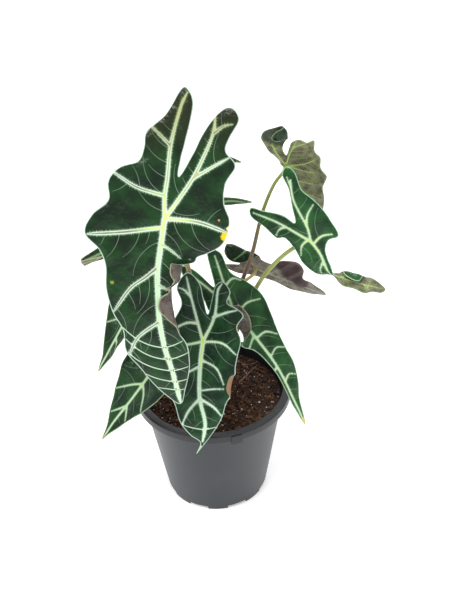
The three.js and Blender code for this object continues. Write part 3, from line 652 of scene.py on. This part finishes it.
# ---------- node material helpers ----------
class Shade:
    """A small builder for node materials."""

    def __init__(self, name):
        self.material = bpy.data.materials.new(name)
        self.material.use_nodes = True
        self.nodes = self.material.node_tree.nodes
        self.links = self.material.node_tree.links
        self.shader = self.nodes["Principled BSDF"]

    def node(self, kind, **settings):
        made = self.nodes.new(kind)
        for key, value in settings.items():
            setattr(made, key, value)
        return made

    def link(self, source, target):
        self.links.new(source, target)

    def attribute(self, name, output="Fac"):
        return self.node("ShaderNodeAttribute", attribute_name=name).outputs[output]

    def math(self, operation, a, b):
        made = self.node("ShaderNodeMath", operation=operation)
        for socket, value in zip(made.inputs, (a, b)):
            if isinstance(value, (int, float)):
                socket.default_value = value
            else:
                self.link(value, socket)
        return made.outputs[0]

    def times(self, a, b):
        return self.math("MULTIPLY", a, b)

    def ramp(self, value, low_end, high_end):
        """0 below low_end, 1 above high_end, smooth between."""
        made = self.node("ShaderNodeMapRange", interpolation_type="SMOOTHSTEP")
        self.link(value, made.inputs["Value"])
        made.inputs["From Min"].default_value = low_end
        made.inputs["From Max"].default_value = high_end
        return made.outputs["Result"]

    def fade(self, value, low_end, high_end):
        """1 below low_end, 0 above high_end."""
        return self.math("SUBTRACT", 1.0, self.ramp(value, low_end, high_end))

    def mix(self, share, a, b):
        made = self.node("ShaderNodeMix", data_type="RGBA")
        sockets = [s for s in made.inputs if s.enabled]
        for socket, value in zip(sockets, (share, a, b)):
            if isinstance(value, (int, float)):
                socket.default_value = value
            elif isinstance(value, tuple):
                socket.default_value = (*value, 1)
            else:
                self.link(value, socket)
        return [s for s in made.outputs if s.enabled][0]

    def noise(self, scale, detail=3.0, vector=None, roughness=0.5):
        made = self.node("ShaderNodeTexNoise")
        made.inputs["Scale"].default_value = scale
        made.inputs["Detail"].default_value = detail
        made.inputs["Roughness"].default_value = roughness
        if vector is None:
            vector = self.node("ShaderNodeTexCoord").outputs["Object"]
        self.link(vector, made.inputs["Vector"])
        return made.outputs["Fac"]

    def spots(self, colour, flat, cloud, marks):
        """Small blemishes: each its place on the flat leaf, radius and colour."""
        for (u, v), radius, tint in marks:
            away = self.node("ShaderNodeVectorMath", operation="DISTANCE")
            self.link(flat, away.inputs[0])
            away.inputs[1].default_value = (u, v, 0)
            wobble = self.times(self.math("SUBTRACT", cloud, 0.5), 3.0)
            wobble = self.math("ADD", away.outputs["Value"], wobble)
            spot = self.fade(wobble, radius * 0.7, radius * 1.2)
            colour = self.mix(self.times(spot, 0.9), colour, tint)
        return colour

    def bump(self, height, strength, distance):
        made = self.node("ShaderNodeBump")
        made.inputs["Strength"].default_value = strength
        made.inputs["Distance"].default_value = distance
        self.link(height, made.inputs["Height"])
        self.link(made.outputs["Normal"], self.shader.inputs["Normal"])

    def color(self, value):
        if isinstance(value, tuple):
            self.shader.inputs["Base Color"].default_value = (*value, 1)
        else:
            self.link(value, self.shader.inputs["Base Color"])

    def set(self, name, value):
        self.shader.inputs[name].default_value = value


def rgb(red, green, blue):
    """Linear colour from the usual 0 to 255 values."""
    def one(value):
        c = value / 255
        return c / 12.92 if c <= 0.04045 else ((c + 0.055) / 1.055) ** 2.4
    return (one(red), one(green), one(blue))


def leaf_top(name, dark, mid, vein, cores, border, feather, marks=(), aged=None):
    """cores: the colour of the raised rib on the midrib, lobe ribs and side ribs, and near the join.

    feather: how far the pale colour runs out from the ribs in fine points, in mm.
    marks: small blemishes, each its place on the flat leaf, radius and colour.
    aged: the colour that the lobes turn to towards their tips.
    """
    s = Shade(name)
    rib = s.attribute("rib")
    fine = s.attribute("fine")
    edge = s.attribute("edge")
    along = s.attribute("along")
    across = s.attribute("across")
    kind = s.attribute("kind")
    flat = s.attribute("flat", "Vector")
    blotch = s.noise(0.05, 3, flat)
    cloud = s.noise(0.35, 4, flat)
    green = s.mix(s.ramp(blotch, 0.35, 0.7), dark, mid)
    if aged:
        split = s.node("ShaderNodeSeparateXYZ")
        s.link(flat, split.inputs["Vector"])
        old = s.fade(split.outputs["X"], -82.0, -36.0)
        green = s.mix(s.times(old, s.ramp(blotch, 0.3, 0.5)), green, aged)
        vein = s.mix(old, vein, rgb(166, 176, 128))
    combine = s.node("ShaderNodeCombineXYZ")
    s.link(along, combine.inputs["X"])
    spikes = s.noise(1.1, 2, combine.outputs["Vector"], 0.6)
    reach = s.times(s.math("SUBTRACT", spikes, 0.5), feather)
    halo = s.ramp(s.math("ADD", rib, reach), -1.4, 0.5)
    halo = s.times(halo, s.ramp(rib, -3.4, 0.2))
    halo = s.times(halo, s.fade(kind, 1.0, 2.0))
    whole = s.math("MAXIMUM", s.ramp(rib, -0.5, 0.15), s.times(halo, 0.7))
    thin = s.times(s.ramp(fine, -0.3, 0.1), 0.26)
    rim = s.fade(edge, 0.35, 1.0)
    colour = s.mix(s.times(s.ramp(rib, -5.0, 0.0), 0.35), green, mid)
    colour = s.mix(thin, colour, vein)
    colour = s.mix(whole, colour, vein)
    core = s.mix(s.ramp(kind, 0.0, 0.5), cores[0], cores[1])
    core = s.mix(s.ramp(kind, 0.5, 1.0), core, cores[2])
    core = s.mix(s.ramp(kind, 1.0, 2.0), core, vein)
    to_join = s.node("ShaderNodeVectorMath", operation="LENGTH")
    s.link(flat, to_join.inputs[0])
    near_join = s.fade(to_join.outputs["Value"], 6.0, 34.0)
    core = s.mix(near_join, core, cores[3])
    centre_line = s.fade(across, 0.3, 0.7)
    colour = s.mix(s.times(centre_line, 0.85), colour, core)
    colour = s.mix(rim, colour, border)
    s.color(s.spots(colour, flat, cloud, marks))
    s.set("Roughness", 0.25)
    s.set("Specular IOR Level", 0.3)
    puckers = s.noise(0.22, 2, flat)
    height = s.math("ADD", cloud, s.times(puckers, 2.0))
    s.bump(height, 0.4, 0.001)
    return s.material


def leaf_under(name, dark, mid, vein, border, marks=()):
    s = Shade(name)
    rib = s.attribute("rib")
    fine = s.attribute("fine")
    edge = s.attribute("edge")
    flat = s.attribute("flat", "Vector")
    blotch = s.noise(0.12, 3, flat)
    net = s.noise(1.2, 4, flat)
    base = s.mix(s.ramp(blotch, 0.35, 0.65), dark, mid)
    base = s.mix(s.times(s.ramp(net, 0.52, 0.62), 0.45), base, vein)
    thin = s.times(s.ramp(fine, -0.4, 0.2), 0.7)
    colour = s.mix(thin, base, vein)
    colour = s.mix(s.ramp(rib, -0.3, 0.4), colour, vein)
    colour = s.mix(s.fade(edge, 0.6, 1.4), colour, border)
    s.color(s.spots(colour, flat, net, marks))
    s.set("Roughness", 0.45)
    s.bump(net, 0.3, 0.0006)
    return s.material


def shown(name, mesh, materials, body, nodes):
    """Puts a finished piece in the scene; nodes are the CAD nodes that it takes the place of."""
    piece = linked(name, mesh)
    for material in materials:
        mesh.materials.append(material)
    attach(piece, body)
    if nodes:
        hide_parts(*nodes)
    return piece


TOP_BIG = leaf_top("leaf_top_big", rgb(6, 30, 12), rgb(22, 64, 24), rgb(206, 232, 206),
                   (rgb(200, 232, 180), rgb(168, 172, 116), rgb(112, 88, 62), rgb(214, 238, 120)),
                   rgb(190, 214, 196), 8.0,
                   [((14, 48), 3.6, rgb(236, 206, 30)), ((8, 51), 2.0, rgb(250, 244, 190)),
                    ((47, -45), 1.5, rgb(150, 150, 30)), ((-80, 3), 1.4, rgb(190, 80, 30)),
                    ((1, 44), 1.2, rgb(200, 150, 80))],
                   rgb(32, 36, 14))
TOP_MIDDLE = leaf_top("leaf_top_middle", rgb(6, 34, 18), rgb(22, 68, 30), rgb(206, 232, 208),
                      (rgb(196, 230, 180), rgb(190, 218, 176), rgb(196, 218, 192), rgb(196, 228, 90)),
                      rgb(176, 204, 182), 4.0)
TOP_LOW = leaf_top("leaf_top_low", rgb(10, 36, 18), rgb(26, 66, 28), rgb(176, 204, 168),
                   (rgb(180, 204, 144), rgb(166, 190, 144), rgb(168, 196, 160), rgb(176, 204, 110)),
                   rgb(140, 160, 124), 3.0, [((82, 0), 6.0, rgb(160, 140, 70))])
TOP_LIGHT = leaf_top("leaf_top_light", rgb(12, 46, 22), rgb(36, 88, 38), rgb(194, 218, 184),
                     (rgb(176, 222, 150), rgb(182, 220, 156), rgb(176, 216, 160), rgb(190, 222, 110)),
                     rgb(160, 196, 160), 4.0, [((132, 1), 7.0, rgb(214, 190, 90))])
TOP_DARK = leaf_top("leaf_top_dark", rgb(12, 34, 16), rgb(24, 56, 28), rgb(120, 150, 110),
                    (rgb(120, 156, 100), rgb(120, 150, 100), rgb(110, 140, 96), rgb(140, 176, 80)),
                    rgb(110, 130, 84), 3.0, [((112, 0), 18.0, rgb(150, 116, 60))])
UNDER = leaf_under("leaf_under", rgb(78, 68, 60), rgb(122, 122, 96), rgb(160, 188, 104), rgb(120, 140, 90))
UNDER_LOBED = leaf_under("leaf_under_lobed", rgb(66, 54, 50), rgb(120, 120, 92), rgb(160, 190, 96),
                         rgb(120, 140, 90), [((-42, -4), 18.0, rgb(20, 46, 22)),
                                             ((-30, -9), 9.0, rgb(20, 46, 22))])
UNDER_DARK = leaf_under("leaf_under_dark", rgb(44, 26, 30), rgb(90, 76, 74), rgb(132, 146, 112),
                        rgb(150, 152, 120))
UNDER_TAN = leaf_under("leaf_under_tan", rgb(84, 62, 46), rgb(120, 98, 72), rgb(150, 140, 104),
                       rgb(150, 152, 120), [((40, 30), 12.0, rgb(140, 108, 76))])
UNDER_STREAKED = leaf_under("leaf_under_streaked", rgb(96, 84, 84), rgb(146, 140, 126), rgb(170, 176, 150),
                            rgb(120, 110, 90), [((34, -14), 14.0, rgb(58, 36, 40)), ((22, -20), 10.0,
                            rgb(66, 42, 46)), ((46, -4), 8.0, rgb(58, 36, 40))])


for leaf_name, leaf in LEAVES.items():
    top = {"front_left": TOP_BIG, "front_middle": TOP_MIDDLE, "low_left": TOP_LOW, "left": TOP_LOW,
           "front_right": TOP_LIGHT, "right": TOP_LIGHT}.get(leaf_name, TOP_DARK)
    under = {"back_right": UNDER_LOBED, "right": UNDER, "front_middle": UNDER_TAN,
             "back_low": UNDER_STREAKED}.get(leaf_name, UNDER_DARK)
    shown("leaf_" + leaf_name, blade_mesh(leaf_name, leaf), [top, under], "root",
          ["blade_" + leaf_name])


# ---------- stalks ----------
def spline(points, per):
    """A centripetal Catmull-Rom curve through 3-D points."""
    out = []
    for i in range(len(points) - 1):
        b, c = points[i], points[i + 1]
        a = points[i - 1] if i > 0 else 2 * b - c
        d = points[i + 2] if i + 2 < len(points) else 2 * c - b
        ab, bc, cd = (max((q - p).length, 1e-4) ** 0.5 for p, q in ((a, b), (b, c), (c, d)))
        m1 = ((b - a) / ab - (c - a) / (ab + bc) + (c - b) / bc) * bc
        m2 = ((c - b) / bc - (d - b) / (bc + cd) + (d - c) / cd) * bc
        for k in range(per):
            t = k / per
            out.append((2 * t ** 3 - 3 * t * t + 1) * b + (t ** 3 - 2 * t * t + t) * m1
                       + (3 * t * t - 2 * t ** 3) * c + (t ** 3 - t * t) * m2)
    out.append(points[-1])
    return out


def tube(name, path, radius_at, sides):
    """A round tube along a path; radius_at gives its radius at a share of its length."""
    lengths = [0.0]
    for p, q in zip(path, path[1:]):
        lengths.append(lengths[-1] + (q - p).length)
    shares = [length / lengths[-1] for length in lengths]
    normal = Vector((1, 0, 0))
    points, share_values = [], []
    for i, p in enumerate(path):
        tangent = (path[min(i + 1, len(path) - 1)] - path[max(i - 1, 0)]).normalized()
        normal = (normal - tangent * normal.dot(tangent)).normalized()
        other = tangent.cross(normal)
        for k in range(sides):
            angle = 2 * math.pi * k / sides
            points.append(p + (normal * math.cos(angle) + other * math.sin(angle)) * radius_at(shares[i]))
            share_values.append(shares[i])
    faces = []
    for i in range(len(path) - 1):
        for k in range(sides):
            a, b = i * sides + k, i * sides + (k + 1) % sides
            faces.append((a, b, b + sides, a + sides))
    faces.append(tuple(range(sides - 1, -1, -1)))
    faces.append(tuple((len(path) - 1) * sides + k for k in range(sides)))
    mesh = mesh_of(name, points, faces, smooth=True)
    store(mesh, "share", share_values)
    return mesh


def stalk_material(name, green, brown, change):
    s = Shade(name)
    share = s.attribute("share")
    mottle = s.noise(260, 4)
    flow = s.math("ADD", share, s.times(s.math("SUBTRACT", mottle, 0.5), 0.35))
    colour = s.mix(s.ramp(flow, change - 0.28, change + 0.28), brown, green)
    s.color(colour)
    s.set("Roughness", 0.42)
    s.bump(mottle, 0.15, 0.0004)
    return s.material


STALK_GREEN = stalk_material("stalk_green", rgb(152, 164, 88), rgb(126, 102, 66), 0.5)
STALK_BROWN = stalk_material("stalk_brown", rgb(132, 148, 66), rgb(100, 74, 58), 0.8)
STALK_TAN = stalk_material("stalk_tan", rgb(170, 158, 96), rgb(132, 100, 66), 0.6)

FOOT_SINK = 2
FOOT_RISE = 12
JOIN_LEAD = 6.9
JOIN_GAP = 0.6
STALK_STEPS = 10
STALK_SIDES = 16

for stalk_name, (foot, thick, thin_end, via) in STALKS.items():
    leaf = LEAVES[stalk_name]
    _, _, out_of_leaf = leaf_axes(leaf["aim"])
    foot_angle = math.radians(foot)
    base = Vector((STALK_RING * math.cos(foot_angle), STALK_RING * math.sin(foot_angle),
                   CORM_TOP - FOOT_SINK))
    join = join_point(leaf["at"])
    points = [base, base + Vector((0, 0, FOOT_RISE)), *[join_point(p) for p in via],
              join - out_of_leaf * JOIN_LEAD, join - out_of_leaf * JOIN_GAP]

    def radius_at(share, thick=thick, thin_end=thin_end):
        sheath = 1 + 0.5 * math.exp(-share / 0.05)
        flare = 1 + 0.25 * smoothstep((share - 0.96) / 0.04)
        return (thick + (thin_end - thick) * share) / 2 * sheath * flare

    material = {"back_right": STALK_BROWN, "right": STALK_GREEN}.get(stalk_name, STALK_TAN)
    piece_name = "petiole_" + stalk_name
    shown(piece_name, tube(piece_name, spline(points, STALK_STEPS), radius_at, STALK_SIDES),
          [material], "root", ["stalk_" + stalk_name])


# ---------- pot ----------
def lathe(name, profile, sides):
    """A solid of revolution from (radius, height) points; a radius of 0 is a single point."""
    points, faces = [], []
    rings = []
    for radius, height in profile:
        if radius < 1e-6:
            rings.append([len(points)])
            points.append(Vector((0, 0, height)))
        else:
            rings.append(list(range(len(points), len(points) + sides)))
            points += [Vector((*around(radius, k, sides), height)) for k in range(sides)]
    for lower_ring, upper_ring in zip(rings, rings[1:]):
        for k in range(sides):
            a, b = lower_ring[k % len(lower_ring)], lower_ring[(k + 1) % len(lower_ring)]
            c, d = upper_ring[(k + 1) % len(upper_ring)], upper_ring[k % len(upper_ring)]
            corners = []
            for corner in (a, b, c, d):
                if corner not in corners:
                    corners.append(corner)
            faces.append(tuple(corners))
    return mesh_of(name, points, faces)


def block(name, size, move, turn):
    """A box, moved and then turned about the pot's axis."""
    hx, hy, hz = (value / 2 for value in size)
    corners = [Vector((x, y, z)) for x in (-hx, hx) for y in (-hy, hy) for z in (-hz, hz)]
    faces = [(0, 1, 3, 2), (4, 6, 7, 5), (0, 4, 5, 1), (2, 3, 7, 6), (0, 2, 6, 4), (1, 5, 7, 3)]
    spin = Matrix.Rotation(math.radians(turn), 3, "Z")
    return mesh_of(name, [spin @ (corner + Vector(move)) for corner in corners], faces)


def rounded(profile, radius, steps=4):
    """The profile with its inner corners rounded off."""
    out = [profile[0]]
    for before, corner, after in zip(profile, profile[1:], profile[2:]):
        a, b, c = (Vector(p) for p in (before, corner, after))
        cut = min(radius, (a - b).length * 0.45, (c - b).length * 0.45)
        p, q = b + (a - b).normalized() * cut, b + (c - b).normalized() * cut
        for k in range(steps + 1):
            t = k / steps
            out.append(tuple((1 - t) ** 2 * p + 2 * t * (1 - t) * b + t * t * q))
    out.append(profile[-1])
    return out


WALL = 1.6
FLOOR = 2
LIP_WIDTH = 6.0
LIP_HEIGHT = 8.0
LIP_TOP = WALL + 0.6
BASE_RADIUS = 50.5
POT_SIDES = 144
WALL_HEIGHTS = (5, 8, 20, 40, 60, 80, 100)
CORNER_RADIUS = 0.9
SLOT_COUNT = 8
SLOT_SIZE = (8, 20, 8)
HOLE_COUNT = 6
HOLE_RADIUS = 4
HOLE_CIRCLE = 24
TAB_AZIMUTH = -74
TAB_WIDTH = 10
TAB_HEIGHT = 9
TAB_DROP = 1
TAB_PROUD = 1


def wall_radius(height):
    """Outer radius of the pot's wall at a height above the table."""
    return BASE_RADIUS + (RIM - LIP_WIDTH - BASE_RADIUS) * height / POT_HEIGHT


def combine(body, mesh, operation):
    """Adds a Boolean with a helper object, and returns the helper."""
    helper = linked(mesh.name, mesh)
    modifier = body.modifiers.new(mesh.name, "BOOLEAN")
    modifier.operation, modifier.object, modifier.solver = operation, helper, "EXACT"
    return helper


def pot_mesh():
    wall = [(wall_radius(height), height) for height in WALL_HEIGHTS]
    profile = rounded([
        (0, 0), (BASE_RADIUS, 0), *wall, (wall_radius(POT_HEIGHT - WALL), POT_HEIGHT - LIP_TOP),
        (RIM - WALL, POT_HEIGHT - LIP_TOP), (RIM - WALL, POT_HEIGHT - LIP_HEIGHT),
        (RIM, POT_HEIGHT - LIP_HEIGHT), (RIM, POT_HEIGHT),
        (RIM - LIP_WIDTH - WALL, POT_HEIGHT), (wall_radius(FLOOR) - WALL, FLOOR), (0, FLOOR),
    ], CORNER_RADIUS)
    body = linked("pot_work", lathe("pot_work", profile, POT_SIDES))
    helpers = []
    for i in range(SLOT_COUNT):
        slot = block("slot", SLOT_SIZE, (BASE_RADIUS, 0, 0), (i + 0.5) * 360 / SLOT_COUNT)
        helpers.append(combine(body, slot, "DIFFERENCE"))
    for i in range(HOLE_COUNT):
        below, above = -FLOOR, 2 * FLOOR
        hole = lathe("hole", [(0, below), (HOLE_RADIUS, below), (HOLE_RADIUS, above), (0, above)], 24)
        hole.transform(Matrix.Rotation(math.radians(360 / HOLE_COUNT * i), 4, "Z")
                       @ Matrix.Translation((HOLE_CIRCLE * MM, 0, 0)))
        helpers.append(combine(body, hole, "DIFFERENCE"))
    tab = block("tab", (WALL + TAB_PROUD, TAB_WIDTH, TAB_HEIGHT), (
        RIM + (TAB_PROUD - WALL) / 2, 0, POT_HEIGHT - TAB_DROP - TAB_HEIGHT / 2), TAB_AZIMUTH)
    helpers.append(combine(body, tab, "UNION"))
    bpy.context.view_layer.update()
    ready = body.evaluated_get(bpy.context.evaluated_depsgraph_get())
    mesh = bpy.data.meshes.new_from_object(ready)
    mesh.name = "nursery_pot"
    for helper in (*helpers, body):
        data = helper.data
        bpy.data.objects.remove(helper)
        bpy.data.meshes.remove(data)
    mesh.set_sharp_from_angle(angle=math.radians(40))
    for polygon in mesh.polygons:
        polygon.use_smooth = True
    return mesh


def pot_material():
    s = Shade("pot_plastic")
    position = s.node("ShaderNodeTexCoord").outputs["Object"]
    split = s.node("ShaderNodeSeparateXYZ")
    s.link(position, split.inputs["Vector"])
    dust = s.noise(30, 5)
    fine = s.noise(900, 2)
    colour = s.mix(s.times(s.ramp(dust, 0.45, 0.75), 0.5), rgb(31, 37, 42), rgb(44, 50, 55))
    # Painted shade: from 105 mm up, the lip and the inner wall above the soil are painted nearly black.
    colour = s.mix(s.ramp(split.outputs["Z"], 0.105, 0.112), colour, rgb(16, 18, 23))
    s.color(colour)
    s.set("Roughness", 0.42)
    s.bump(fine, 0.06, 0.0002)
    return s.material


shown("nursery_pot", pot_mesh(), [pot_material()], "root", ["pot"])


# ---------- potting mix ----------
SOIL_FOOT = 48.5
SOIL_SIDES = 200
SOIL_STEP = 1.3
SOIL_INNER = 2.0
MOUND = 1.5
LUMP_HEIGHT = 1.5
LUMP_SIZE = 9
GRAIN_HEIGHT = 0.9
GRAIN_SIZE = 3.2
CHIP_CLEARANCE = 2.2


def soil_height(x, y):
    radius = math.hypot(x, y)
    mound = MOUND * (1 - smoothstep((radius - 14) / 50))
    lumps = LUMP_HEIGHT * noise.noise(Vector((x / LUMP_SIZE, y / LUMP_SIZE, 1)))
    rough = lumps + GRAIN_HEIGHT * noise.noise(Vector((x / GRAIN_SIZE, y / GRAIN_SIZE, 5)))
    return SOIL_TOP + mound + rough * 0.8 * (1 - 0.6 * smoothstep((radius - SOIL_RADIUS + 6) / 6))


def soil_mesh():
    rings = []
    radius = SOIL_INNER
    while radius < SOIL_RADIUS:
        rings.append(radius)
        radius += SOIL_STEP
    rings.append(SOIL_RADIUS)
    points = [Vector((0, 0, soil_height(0, 0)))]
    for radius in rings:
        for k in range(SOIL_SIDES):
            x, y = around(radius, k, SOIL_SIDES)
            points.append(Vector((x, y, soil_height(x, y))))
    bottom = len(points)
    points += [Vector((*around(SOIL_FOOT, k, SOIL_SIDES), soil_low.z)) for k in range(SOIL_SIDES)]
    faces = [(0, 1 + k, 1 + (k + 1) % SOIL_SIDES) for k in range(SOIL_SIDES)]
    for start in range(1, bottom, SOIL_SIDES):
        for k in range(SOIL_SIDES):
            a, b = start + k, start + (k + 1) % SOIL_SIDES
            faces.append((a, a + SOIL_SIDES, b + SOIL_SIDES, b))
    faces.append(tuple(bottom + k for k in range(SOIL_SIDES - 1, -1, -1)))
    return mesh_of("potting_mix", points, faces, smooth=True)


def soil_material():
    s = Shade("potting_mix")
    coarse = s.noise(300, 5, None, 0.65)
    fine = s.noise(1100, 4, None, 0.7)
    colour = s.mix(s.ramp(coarse, 0.38, 0.66), rgb(12, 7, 5), rgb(60, 35, 22))
    colour = s.mix(s.times(s.ramp(fine, 0.45, 0.7), 0.5), colour, rgb(104, 68, 44))
    s.color(colour)
    s.set("Roughness", 0.9)
    s.bump(coarse, 0.9, 0.0015)
    return s.material


def crumbs(name, count, seed, small, large, sink, squash):
    """Irregular chips lying in the top of the soil."""
    chance = random.Random(seed)
    points, faces, tones = [], [], []
    for _ in range(count):
        radius = (SOIL_RADIUS - CHIP_CLEARANCE) * math.sqrt(chance.random())
        angle = chance.uniform(0, 2 * math.pi)
        x, y = radius * math.cos(angle), radius * math.sin(angle)
        size = small + (large - small) * chance.random() ** 3
        centre = Vector((x, y, soil_height(x, y) + size * sink))
        turn = Matrix.Rotation(chance.uniform(0, 6.28), 3, Vector((
            chance.gauss(0, 1), chance.gauss(0, 1), chance.gauss(0, 1))).normalized())
        stretch = Vector((1.0, chance.uniform(0.5, 0.9), chance.uniform(squash, 0.8)))
        start = len(points)
        for i in range(8):
            corner = Vector((1 if i & 1 else -1, 1 if i & 2 else -1, 1 if i & 4 else -1))
            corner = Vector(c * s * chance.uniform(0.45, 0.75) for c, s in zip(corner, stretch))
            points.append(centre + turn @ corner * size / 2)
        tones += [chance.random()] * 8
        for face in ((0, 2, 3, 1), (4, 5, 7, 6), (0, 1, 5, 4), (2, 6, 7, 3), (0, 4, 6, 2), (1, 3, 7, 5)):
            faces.append(tuple(start + i for i in face))
    mesh = mesh_of(name, points, faces)
    store(mesh, "tone", tones)
    return mesh


def crumb_material(name, dark, light):
    s = Shade(name)
    tone = s.attribute("tone")
    grain = s.noise(800, 3)
    colour = s.mix(tone, dark, light)
    colour = s.mix(s.times(s.ramp(grain, 0.4, 0.7), 0.3), colour, dark)
    s.color(colour)
    s.set("Roughness", 0.85)
    return s.material


shown("potting_mix", soil_mesh(), [soil_material()], "root", ["soil"])
shown("bark_crumbs", crumbs("bark_crumbs", 4200, 3, 1.2, 5.0, 0.2, 0.3),
      [crumb_material("bark", rgb(14, 8, 6), rgb(126, 84, 54))], "root", [])
shown("perlite", crumbs("perlite", 170, 8, 1.3, 3.0, 0.35, 0.6),
      [crumb_material("perlite", rgb(214, 196, 180), rgb(250, 244, 238))], "root", [])


def twig_mesh():
    """A dry twig lying on the soil, thinner towards its far end."""
    route = [(24, 10, 0.2), (31, 18, 1.2), (38, 30, 1.0), (48, 42, 1.6)]
    path = spline([Vector((x, y, soil_height(x, y) + lift)) for x, y, lift in route], 8)
    return tube("twig", path, lambda share: 1.1 - 0.5 * share, 8)


shown("twig", twig_mesh(), [stalk_material("twig_bark", rgb(84, 52, 40), rgb(104, 66, 50), 0.5)],
      "root", [])


def corm_mesh():
    profile = [(0, corm_low.z), (13, corm_low.z + 10), (14, CORM_TOP - 6), (13.6, CORM_TOP - 3),
               (13, CORM_TOP - 1.4), (11, CORM_TOP - 0.4), (6, CORM_TOP), (0, CORM_TOP)]
    mesh = lathe("corm", rounded(profile, 1.0), 48)
    for vertex in mesh.vertices:
        lump = noise.noise(vertex.co / MM / 4)
        vertex.co.x *= 1 + 0.05 * lump
        vertex.co.y *= 1 + 0.05 * lump
    for polygon in mesh.polygons:
        polygon.use_smooth = True
    return mesh


def corm_material():
    s = Shade("corm_skin")
    lumps = s.noise(240, 4)
    s.color(s.mix(s.ramp(lumps, 0.35, 0.7), rgb(58, 38, 26), rgb(116, 84, 58)))
    s.set("Roughness", 0.8)
    s.bump(lumps, 0.5, 0.001)
    return s.material


shown("corm_top", corm_mesh(), [corm_material()], "root", ["corm"])


# ---------- floor, light and camera ----------
def floor():
    half = 6.0
    mesh = bpy.data.meshes.new("floor")
    mesh.from_pydata([(-half, -half, 0), (half, -half, 0), (half, half, 0), (-half, half, 0)], [],
                     [(0, 1, 2, 3)])
    s = Shade("floor_white")
    tint = s.noise(2, 2)
    s.color(s.mix(s.ramp(tint, 0.3, 0.7), (0.95, 0.95, 0.95), (0.97, 0.97, 0.97)))
    s.shader.inputs["Emission Color"].default_value = (1, 1, 1, 1)
    s.set("Emission Strength", 0.35)
    s.set("Roughness", 0.9)
    s.set("Specular IOR Level", 0.1)
    mesh.materials.append(s.material)
    linked("floor", mesh)


def lamp(name, place_at, aim_at, size, power):
    data = bpy.data.lights.new(name, "AREA")
    data.shape, data.size, data.size_y = "RECTANGLE", size[0], size[1]
    data.energy = power
    light = linked(name, data)
    light.location = place_at
    light.rotation_mode = "QUATERNION"
    light.rotation_quaternion = (Vector(aim_at) - Vector(place_at)).to_track_quat("-Z", "Y")


floor()
world = bpy.data.worlds.new("studio")
bpy.context.scene.world = world
world.use_nodes = True
world.node_tree.nodes["Background"].inputs["Color"].default_value = (1, 1, 1, 1)
world.node_tree.nodes["Background"].inputs["Strength"].default_value = 0.7
lamp("key", (-0.5, -0.6, 1.9), (0, 0, 0.2), (0.9, 0.9), 27)
lamp("back", (0.5, 1.3, 1.5), (0, 0, 0.2), (1.2, 0.8), 13)
bpy.context.scene.view_settings.view_transform = "Standard"

# The camera stands in front of the plant, looks down by its dip and leans by its roll.
CAMERA_PLACE = (0.0147, -0.6406, 0.6394)
CAMERA_DIP = 33.5
CAMERA_ROLL = -2.2
camera_data = bpy.data.cameras.new("camera")
camera_data.sensor_width = 36
camera_data.lens = 51
camera = linked("camera", camera_data)
camera.matrix_world = (Matrix.Translation(CAMERA_PLACE)
                       @ Matrix.Rotation(math.radians(90 - CAMERA_DIP), 4, "X")
                       @ Matrix.Rotation(math.radians(CAMERA_ROLL), 4, "Z"))
bpy.context.scene.camera = camera
